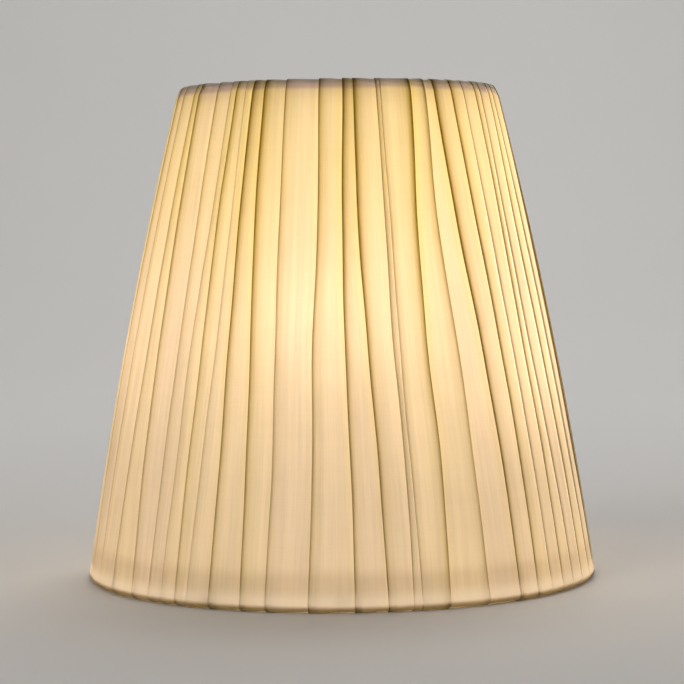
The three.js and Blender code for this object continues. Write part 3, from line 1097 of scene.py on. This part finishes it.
def area_light(name, place, aim, size, power, colour):
    data = bpy.data.lights.new(name, "AREA")
    data.shape, data.size, data.energy, data.color = "DISK", size, power, colour
    lamp = bpy.data.objects.new(name, data)
    lamp.location = place
    lamp.rotation_euler = (Vector(aim) - Vector(place)).to_track_quat("-Z", "Y").to_euler()
    bpy.context.scene.collection.objects.link(lamp)


def warm_light(name, place, radius, power, only=None):
    """A small warm lamp inside the shade, which the camera doesn't see. It may light one collection only."""
    data = bpy.data.lights.new(name, "POINT")
    data.shadow_soft_size, data.energy, data.color = radius, power, BULB_COLOUR
    lamp = bpy.data.objects.new(name, data)
    lamp.location = place
    lamp.visible_camera = False
    lamp.light_linking.receiver_collection = only
    bpy.context.scene.collection.objects.link(lamp)


def light_shade(cloth):
    """The bulb, lamps round it that spread its light, and a ring of weak ones for the cloth at the hem."""
    for name, height, power in BULBS:
        warm_light(name, (BULB_X, 0, height), 0.03, power)
    for k, (degrees, height, power) in enumerate(GLOWS, 1):
        a = degrees * DEG
        warm_light(f"glow_{k}", (GLOW_R * math.sin(a), -GLOW_R * math.cos(a), height), 0.02, power)
    near_hem = bpy.data.collections.new("near_hem")
    for piece in cloth:
        near_hem.objects.link(piece)
    for k in range(HEM_LAMPS):
        a = (10 + 360 * k / HEM_LAMPS) * DEG
        side = math.sin(a)
        place = (HEM_LAMP_R * side, -HEM_LAMP_R * math.cos(a), HEM_LAMP_Z)
        power = HEM_POWER * (0.7 + 0.9 * side * side + 0.5 * max(0, side))
        warm_light(f"hem_glow_{k + 1}", place, 0.004, power, near_hem)


def light_studio():
    area_light("key", (-1.6, -2.0, 2.2), (0, 0, 0.1), 1.6, 17, (1.0, 0.97, 0.92))
    area_light("fill", (2.2, -1.6, 1.4), (0, 0, 0.1), 2.0, 8, (0.95, 0.97, 1.0))
    area_light("wash", (0, 0.8, 2.0), (0, 2.0, 0.5), 1.2, 8, (1.0, 0.99, 0.97))
    area_light("back", (0.4, 1.2, 2.4), (0, 0.2, 0.1), 1.5, 14, (1.0, 0.98, 0.95))
    world = bpy.data.worlds.new("studio")
    world.use_nodes = True
    background = world.node_tree.nodes["Background"].inputs
    background["Color"].default_value = (0.9, 0.92, 1.0, 1)
    background["Strength"].default_value = 0.12
    bpy.context.scene.world = world
    bpy.context.scene.view_settings.view_transform = "Standard"


def make_camera():
    data = bpy.data.cameras.new("camera")
    data.sensor_width, data.lens = SENSOR, LENS
    camera = bpy.data.objects.new("camera", data)
    turn = Matrix.Rotation(math.pi / 2 - PITCH, 4, "X") @ Matrix.Rotation(LEAN, 4, "Z")
    camera.matrix_world = Matrix.Translation(EYE) @ turn
    bpy.context.scene.collection.objects.link(camera)
    bpy.context.scene.camera = camera


# ---- the scene ----
pleated = cloth_material("pleated_cloth", CLOTH, CLOTH_THROUGH, COVER_SHARE, COVER_THREAD, PAINTED_FOLD_SHADE)
plain = cloth_material("lining_cloth", LINING, LINING_THROUGH, LINING_SHARE, LINING_THREAD)
tape_cloth = tape_material("edge_tape", (0.98, 0.96, 0.92, 1), 1.4 * MM)
thread = tape_material("thread", (0.86, 0.82, 0.73, 1), 0.5 * MM)
make_frame(painted_steel())
make_reducer(moulded_plastic())
cloth_pieces = make_lining(plain)
cloth_pieces.append(make_tape("bottom_edge_tape", "bottom_tape", tape_cloth))
cloth_pieces.append(make_tape("top_edge_tape", "top_tape", tape_cloth))
make_stitches("bottom_tape_stitches", "bottom_tape", thread)
make_stitches("top_tape_stitches", "top_tape", thread)
cloth_pieces += make_cover(pleated)
make_stage()
light_shade(cloth_pieces)
light_studio()
make_camera()
